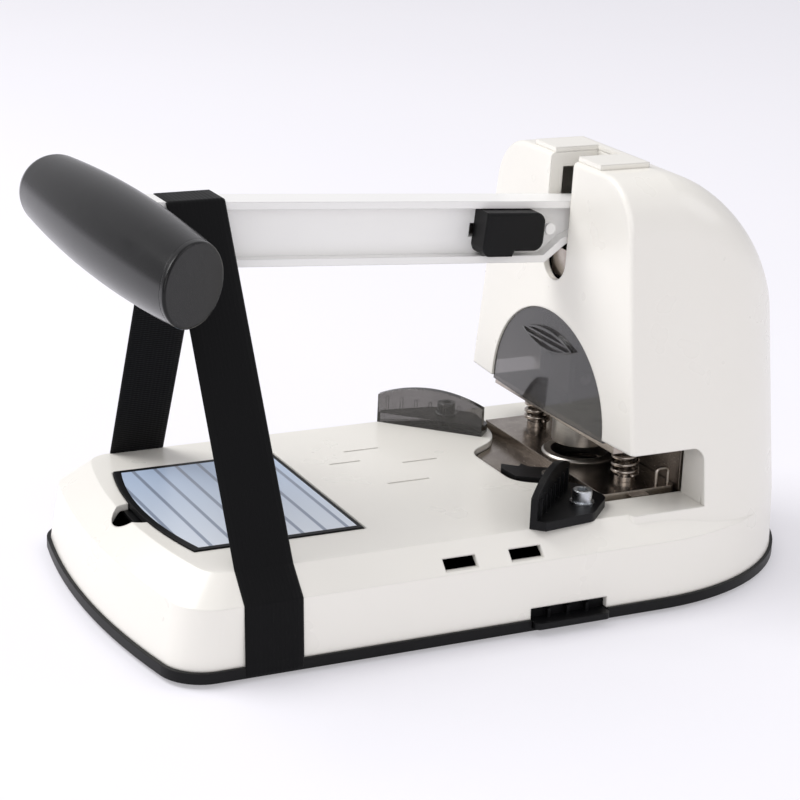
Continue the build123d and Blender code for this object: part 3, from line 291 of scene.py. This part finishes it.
# Lever: a white I-section that carries the handle, powder coated all over.
# It is deburred before coating, so its flange edges are softly rounded.
def steel_powder_coated():
    """White polyester powder coat: thick, satin, with the fine orange peel that the oven leaves."""
    material, tree, shader = start("steel_powder_coated")
    shader.inputs["IOR"].default_value = 1.50
    place = add(tree, "TexCoord")
    peel_mm = 1.1
    peel = add(tree, "TexNoise", {
        "Vector": place.outputs["Object"], "Scale": 1 / (peel_mm * MM), "Detail": 2.0,
    })
    cloud = add(tree, "TexNoise", {"Vector": place.outputs["Object"], "Scale": 1 / (45 * MM), "Detail": 2.0})
    tone = add(tree, "Mix", {"Factor": cloud.outputs["Fac"], "A": linear("#F1F0EE"), "B": linear("#F6F5F3")},
               data_type="RGBA")
    tree.links.new(tone.outputs["Result"], shader.inputs["Base Color"])
    gloss = add(tree, "MapRange", {"Value": peel.outputs["Fac"], "To Min": 0.28, "To Max": 0.40})
    tree.links.new(gloss.outputs["Result"], shader.inputs["Roughness"])
    edge = add(tree, "Bevel", {"Radius": 0.7 * MM}, samples=6)
    bump = add(tree, "Bump", {"Height": peel.outputs["Fac"], "Distance": 0.015 * MM, "Strength": 0.5,
                              "Normal": edge.outputs["Normal"]})
    tree.links.new(bump.outputs["Normal"], shader.inputs["Normal"])
    return material


paint(steel_powder_coated(), "lever_arm", "stop_rivet")


# Yoke, die plates, posts and staple: steel with a dull nickel plate against rust.
# Sheared from strip, so their flat faces keep the grain of the rolled sheet.
def steel_nickel_plated():
    """Nickel plate over rolled strip: warm grey, half bright, brown in its reflections."""
    material, tree, shader = start("steel_nickel_plated")
    shader.inputs["Metallic"].default_value = 1.0
    place = add(tree, "TexCoord")
    lay = add(tree, "Mapping", {"Vector": place.outputs["Object"], "Scale": (1.0, 14.0, 14.0)})
    grain = add(tree, "TexNoise", {"Vector": lay.outputs["Vector"], "Scale": 1 / (4 * MM), "Detail": 5.0})
    spots = add(tree, "TexNoise", {"Vector": place.outputs["Object"], "Scale": 1 / (7 * MM), "Detail": 4.0})
    tone = add(tree, "Mix", {"Factor": spots.outputs["Fac"], "A": linear("#8B8179"), "B": linear("#C6BEB5")},
               data_type="RGBA")
    tree.links.new(tone.outputs["Result"], shader.inputs["Base Color"])
    gloss = add(tree, "MapRange", {"Value": grain.outputs["Fac"], "To Min": 0.14, "To Max": 0.34})
    tree.links.new(gloss.outputs["Result"], shader.inputs["Roughness"])
    edge = add(tree, "Bevel", {"Radius": 0.4 * MM}, samples=4)
    bump = add(tree, "Bump", {"Height": grain.outputs["Fac"], "Distance": 0.01 * MM, "Strength": 0.5,
                              "Normal": edge.outputs["Normal"]})
    tree.links.new(bump.outputs["Normal"], shader.inputs["Normal"])
    return material


nickel = steel_nickel_plated()
paint(nickel, "lever_yoke", "yoke_rivets", "die_plate_lower", "die_plate_upper", "die_posts", "die_staple",
      "die_bed", "die_edge_clip")


# Transport lock: a black ABS slider in the web of the lever, with a steel strip behind.
# Pushed towards the handle it lets the lever travel; it is moulded like the base plate.
paint(black_abs, "lock_knob")


# T-handle grip: a hollow barrel of black ABS pushed over the rod, closed by a cap with a screw.
# Hands polish it, so it is smoother than the other black parts, with long soft highlights.
def black_abs_hand_polished():
    """Black ABS worn smooth by hands: satin, with broad highlights and faint smears."""
    material, tree, shader = start("black_abs_hand_polished")
    shader.inputs["Specular IOR Level"].default_value = 0.28
    shader.inputs["IOR"].default_value = 1.53
    place = add(tree, "TexCoord")
    smear = add(tree, "TexNoise", {"Vector": place.outputs["Object"], "Scale": 1 / (22 * MM), "Detail": 5.0,
                                   "Distortion": 0.6})
    tone = add(tree, "Mix", {"Factor": smear.outputs["Fac"], "A": linear("#050506"), "B": linear("#090909")},
               data_type="RGBA")
    tree.links.new(tone.outputs["Result"], shader.inputs["Base Color"])
    gloss = add(tree, "MapRange", {"Value": smear.outputs["Fac"], "To Min": 0.17, "To Max": 0.23})
    tree.links.new(gloss.outputs["Result"], shader.inputs["Roughness"])
    grain = add(tree, "TexNoise", {"Vector": place.outputs["Object"], "Scale": 1 / (0.7 * MM), "Detail": 2.0})
    edge = add(tree, "Bevel", {"Radius": 0.8 * MM}, samples=4)
    bump = add(tree, "Bump", {"Height": grain.outputs["Fac"], "Distance": 0.006 * MM, "Strength": 0.5,
                              "Normal": edge.outputs["Normal"]})
    tree.links.new(bump.outputs["Normal"], shader.inputs["Normal"])
    return material


paint(black_abs_hand_polished(), "grip_sleeve", "grip_end_cap")


# Coil springs: two lift the upper die plate and one lifts the ram.
# Spring wire, nickel plated, with its end turns closed down flat.
def coil(name, centre, z0, z1, radius, wire, turns):
    """Compression spring as a round wire along a helix whose end turns lie close together."""
    steps, ring = 40 * turns, 10
    low, high = z0 + wire, z1 - wire
    mesh = bmesh.new()
    rows = []
    for i in range(steps + 1):
        share = i / steps
        closed = min(1.0, max(0.0, (share * turns - 1) / (turns - 2)))
        rise = (low + 2 * wire * min(1.0, share * turns)
                + (high - low - 4 * wire) * closed + 2 * wire * max(0.0, share * turns - turns + 1))
        turn = 2 * math.pi * share * turns
        across = Vector((math.cos(turn), math.sin(turn), 0))
        middle = Vector((*centre, rise)) + across * radius
        rows.append([
            mesh.verts.new(middle + across * wire * math.cos(a) + Vector((0, 0, wire * math.sin(a))))
            for a in (2 * math.pi * k / ring for k in range(ring))
        ])
    for row, following in zip(rows, rows[1:]):
        for k in range(ring):
            mesh.faces.new((row[k], row[(k + 1) % ring], following[(k + 1) % ring], following[k]))
    mesh.faces.new(rows[0])
    mesh.faces.new(rows[-1])
    bmesh.ops.recalc_face_normals(mesh, faces=mesh.faces)
    data = bpy.data.meshes.new(name)
    mesh.to_mesh(data)
    mesh.free()
    for face in data.polygons:
        face.use_smooth = True
    data.materials.append(nickel)
    piece = bpy.data.objects.new(name, data)
    bpy.context.scene.collection.objects.link(piece)
    return piece


for node, wire, turns in (
    ("die_spring_left", 0.9, 5),
    ("die_spring_right", 0.9, 5),
    ("ram_return_spring", 0.6, 8),
):
    low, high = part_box(node)
    centre = (low + high) / 2
    outer = (high.x - low.x) / 2
    made = coil(node + "_wire", centre[:2], low.z, high.z, outer - wire * MM, wire * MM, turns)
    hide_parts(node)
    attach(made, "base")
    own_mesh(made)


# Die latch and right fence: black acetal and black ABS mouldings that position the paper.
# The left fence is the same moulding in smoked polycarbonate, so its screw shows through.
paint(black_abs, "die_latch", "fence_right")


def polycarbonate_smoked():
    """Smoked clear polycarbonate: grey glass-like plastic that lets a dimmed view through."""
    material, tree, shader = start("polycarbonate_smoked")
    shader.inputs["IOR"].default_value = 1.585
    shader.inputs["Transmission Weight"].default_value = 0.9
    place = add(tree, "TexCoord")
    flow = add(tree, "TexNoise", {"Vector": place.outputs["Object"], "Scale": 1 / (30 * MM), "Detail": 3.0})
    tone = add(tree, "Mix", {"Factor": flow.outputs["Fac"], "A": linear("#63605F"), "B": linear("#7F7C7B")},
               data_type="RGBA")
    tree.links.new(tone.outputs["Result"], shader.inputs["Base Color"])
    shader.inputs["Roughness"].default_value = 0.06
    edge = add(tree, "Bevel", {"Radius": 0.4 * MM}, samples=4)
    bump = add(tree, "Bump", {"Height": flow.outputs["Fac"], "Distance": 0.05 * MM, "Strength": 0.3,
                              "Normal": edge.outputs["Normal"]})
    tree.links.new(bump.outputs["Normal"], shader.inputs["Normal"])
    return material


smoked = polycarbonate_smoked()
paint(smoked, "finger_guard", "fence_left")


# Storage well and lid: black ABS box under the table, with a lid that hinges at its rear.
# A printed polyester film in a shallow recess leaves a black border all round.
paint(black_abs, "storage_lid", "storage_well", "chip_chute", "chip_tray")


def polyester_film_printed():
    """Printed film under a clear laminate: pale blue fading to white, ruled with fine grey lines."""
    material, tree, shader = start("polyester_film_printed")
    shader.inputs["IOR"].default_value = 1.57
    place = add(tree, "TexCoord")
    split = add(tree, "SeparateXYZ", {"Vector": place.outputs["Object"]})
    fade = add(tree, "MapRange", {"Value": split.outputs["X"], "From Min": -46 * MM, "From Max": 46 * MM})
    tone = add(tree, "Mix", {
        "Factor": fade.outputs["Result"], "A": linear("#B9CBE4"), "B": linear("#DDE4EE"),
    }, data_type="RGBA")
    ruling_mm = 10.0
    bands = add(tree, "TexWave", {
        "Vector": place.outputs["Object"], "Scale": 2 * math.pi / (20 * ruling_mm * MM),
    }, bands_direction="Y")
    line = add(tree, "MapRange", {"Value": bands.outputs["Fac"], "From Min": 0.90, "From Max": 0.96})
    ruled = add(tree, "Mix", {
        "Factor": line.outputs["Result"], "A": tone.outputs["Result"], "B": linear("#8E99AC"),
    }, data_type="RGBA")
    tree.links.new(ruled.outputs["Result"], shader.inputs["Base Color"])
    shader.inputs["Roughness"].default_value = 0.28
    peel = add(tree, "TexNoise", {"Vector": place.outputs["Object"], "Scale": 1 / (12 * MM), "Detail": 2.0})
    bump = add(tree, "Bump", {"Height": peel.outputs["Fac"], "Distance": 0.05 * MM, "Strength": 0.3})
    tree.links.new(bump.outputs["Normal"], shader.inputs["Normal"])
    return material


paint(polyester_film_printed(), "lid_label")


# Carrying strap: 25 mm nylon webbing sewn into a loop under the base and over the lever.
# It holds the lever and, when the machine is carried, is lifted with the handle.
STRAP_WIDTH, STRAP_THICK = 25 * MM, 1.4 * MM


def nylon_webbing_woven():
    """Black nylon webbing: ribbed across its width, with a soft sheen on the raised yarns."""
    material, tree, shader = start("nylon_webbing_woven")
    shader.inputs["Specular IOR Level"].default_value = 0.12
    shader.inputs["IOR"].default_value = 1.53
    shader.inputs["Sheen Weight"].default_value = 0.08
    shader.inputs["Sheen Roughness"].default_value = 0.4
    shader.inputs["Roughness"].default_value = 0.62
    cloth = add(tree, "UVMap", uv_map="weave")
    yarn_mm = 1.8
    yarns = add(tree, "TexWave", {
        "Vector": cloth.outputs["UV"], "Scale": 2 * math.pi / (20 * yarn_mm * MM),
    }, bands_direction="X")
    fuzz = add(tree, "TexNoise", {"Vector": cloth.outputs["UV"], "Scale": 1 / (0.5 * MM), "Detail": 3.0})
    tone = add(tree, "Mix", {"Factor": fuzz.outputs["Fac"], "A": linear("#050506"), "B": linear("#0C0C0E")},
               data_type="RGBA")
    tree.links.new(tone.outputs["Result"], shader.inputs["Base Color"])
    weave = add(tree, "Bump", {"Height": yarns.outputs["Fac"], "Distance": 0.12 * MM, "Strength": 0.5})
    bump = add(tree, "Bump", {"Height": fuzz.outputs["Fac"], "Distance": 0.06 * MM, "Strength": 0.5,
                              "Normal": weave.outputs["Normal"]})
    tree.links.new(bump.outputs["Normal"], shader.inputs["Normal"])
    return material


def rounded(points, radius):
    """The same line with each inner corner turned on a small arc."""
    line = [points[0]]
    for before, corner, after in zip(points, points[1:], points[2:]):
        back, ahead = (before - corner).normalized(), (after - corner).normalized()
        turn = math.pi - back.angle(ahead)
        room = 0.45 * min((before - corner).length, (after - corner).length)
        reach = min(radius * math.tan(turn / 2), room)
        first, last = corner + back * reach, corner + ahead * reach
        for k in range(7):
            t = k / 6
            line.append(first * (1 - t) ** 2 + corner * 2 * t * (1 - t) + last * t * t)
    line.append(points[-1])
    return line


def webbing(name, line, width, thick, rib):
    """A closed band of ribbed webbing whose inner face follows a closed line in the XZ plane."""
    spots, walked = [line[0]], [0.0]
    for a, b in zip(line, line[1:]):
        parts = max(1, round((b - a).length / (rib / 4)))
        for k in range(1, parts + 1):
            spots.append(a.lerp(b, k / parts))
            walked.append(walked[-1] + (b - a).length / parts)
    mesh = bmesh.new()
    flat = mesh.loops.layers.uv.new("weave")
    half, edge = width / 2, 0.8 * MM
    inner = [-half + edge + k * (width - 2 * edge) / 6 for k in range(7)]
    across = [-half, *inner, half]
    rows, feet = [], []
    for i, (spot, far) in enumerate(zip(spots[:-1], walked)):
        along_band = (spots[(i + 1) % (len(spots) - 1)] - spots[i - 1 if i else -2]).normalized()
        out = Vector((along_band.z, 0, -along_band.x))
        swell = 0.12 * MM * math.cos(2 * math.pi * far / rib)
        top, under = [], []
        for u in across:
            thin = 0.35 * thick if abs(u) > half - edge / 2 else 0.0
            side = Vector((spot.x, spot.y + u, spot.z))
            top.append(mesh.verts.new(side + out * (thick - 0.15 * MM - thin + (0 if thin else swell))))
            under.append(mesh.verts.new(side + out * thin))
        rows.append((top, under))
        feet.append(far)
    count = len(rows)
    for i in range(count):
        (top, under), (next_top, next_under) = rows[i], rows[(i + 1) % count]
        v0, v1 = feet[i], feet[i] + rib / 4
        for k in range(len(across) - 1):
            for row, following, order in ((top, next_top, 1), (under, next_under, -1)):
                corners = (row[k], row[k + 1], following[k + 1], following[k])
                marks = ((across[k], v0), (across[k + 1], v0), (across[k + 1], v1), (across[k], v1))
                face = mesh.faces.new(corners[::order])
                for loop, mark in zip(face.loops, marks[::order]):
                    loop[flat].uv = mark
        for k in (0, -1):
            corners = (top[k], next_top[k], next_under[k], under[k])
            mesh.faces.new(corners if k else corners[::-1])
    bmesh.ops.recalc_face_normals(mesh, faces=mesh.faces)
    data = bpy.data.meshes.new(name)
    mesh.to_mesh(data)
    mesh.free()
    for face in data.polygons:
        face.use_smooth = True
    piece = bpy.data.objects.new(name, data)
    bpy.context.scene.collection.objects.link(piece)
    return piece, walked[-1]


strap_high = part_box("strap")[1]
lever_y, base_y = -118.7 * MM, -113.5 * MM
inner_top = strap_high.z - STRAP_THICK
right_line = [
    Vector((0, lever_y, inner_top)),
    Vector((8.3 * MM, lever_y, inner_top)),
    Vector((73.3 * MM, base_y, 42.4 * MM)),
    Vector((84.2 * MM, base_y, 31.9 * MM)),
    Vector((86.4 * MM, base_y, 8.0 * MM)),
    Vector((86.4 * MM, base_y, 1.8 * MM)),
    Vector((0, base_y, 1.8 * MM)),
]
left_line = [Vector((-p.x, p.y, p.z)) for p in right_line[-2:0:-1]]
whole_line = rounded(right_line + left_line + [right_line[0]], 2.0 * MM)
strap, strap_length = webbing("strap_webbing", whole_line, STRAP_WIDTH, STRAP_THICK, 1.2 * MM)
strap.data.materials.append(nylon_webbing_woven())
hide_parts("strap")
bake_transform(strap)


# Studio: a seamless pale paper sweep, one large soft light above and to the front,
# a weaker one beside the camera, and white surroundings that fill the shadows.
def paper_sweep_matt():
    """Matt paper sweep: nearly white, with the faint unevenness of a paper roll."""
    material, tree, shader = start("paper_sweep_matt")
    place = add(tree, "TexCoord")
    cloud = add(tree, "TexNoise", {"Vector": place.outputs["Object"], "Scale": 3.0, "Detail": 2.0})
    tone = add(tree, "Mix", {"Factor": cloud.outputs["Fac"], "A": linear("#C9C8CD"), "B": linear("#CCCBD0")},
               data_type="RGBA")
    tree.links.new(tone.outputs["Result"], shader.inputs["Base Color"])
    shader.inputs["Roughness"].default_value = 0.75
    shader.inputs["Emission Color"].default_value = linear("#F5F3F7")
    shader.inputs["Emission Strength"].default_value = 0.37
    return material


bpy.ops.mesh.primitive_plane_add(size=40, location=(0, 0, 0))
floor = bpy.context.object
floor.name = "studio_floor"
floor.data.materials.append(paper_sweep_matt())

for name, place, aim, size, watts in (
    ("key_softbox", (-0.9, -1.3, 1.9), (0, 0, 0.05), 1.6, 40),
    ("fill_softbox", (1.8, -0.9, 1.0), (0, 0, 0.1), 1.4, 9),
    ("rear_softbox", (0.6, 1.9, 1.4), (0, 0, 0.1), 1.2, 6),
):
    light = bpy.data.lights.new(name, "AREA")
    light.shape = "SQUARE"
    light.size = size
    light.energy = watts
    lamp = bpy.data.objects.new(name, light)
    lamp.location = place
    lamp.rotation_euler = (Vector(aim) - Vector(place)).to_track_quat("-Z", "Y").to_euler()
    bpy.context.scene.collection.objects.link(lamp)

world = bpy.data.worlds.new("studio_air")
world.use_nodes = True
world.node_tree.nodes["Background"].inputs["Color"].default_value = linear("#F7F6FA")
world.node_tree.nodes["Background"].inputs["Strength"].default_value = 0.58
bpy.context.scene.world = world
bpy.context.scene.view_settings.view_transform = "Standard"

# Camera: a long lens a metre away, slightly above the bench, on the right-hand side.
azimuth, elevation, roll = math.radians(63.074), math.radians(18.161), math.radians(2.464)
level = math.cos(elevation)
ahead = -Vector((math.sin(azimuth) * level, -math.cos(azimuth) * level, math.sin(elevation)))
right = ahead.cross(Vector((0, 0, 1))).normalized()
down = ahead.cross(right)
right, down = (right * math.cos(roll) - down * math.sin(roll), right * math.sin(roll) + down * math.cos(roll))
camera_data = bpy.data.cameras.new("camera")
camera_data.sensor_width = 36
camera_data.lens = 102.93
camera = bpy.data.objects.new("camera", camera_data)
turn = Matrix((right, -down, -ahead)).transposed().to_4x4()
camera.matrix_world = Matrix.Translation((0.8360, -0.4446, 0.3858)) @ turn
bpy.context.scene.collection.objects.link(camera)
bpy.context.scene.camera = camera
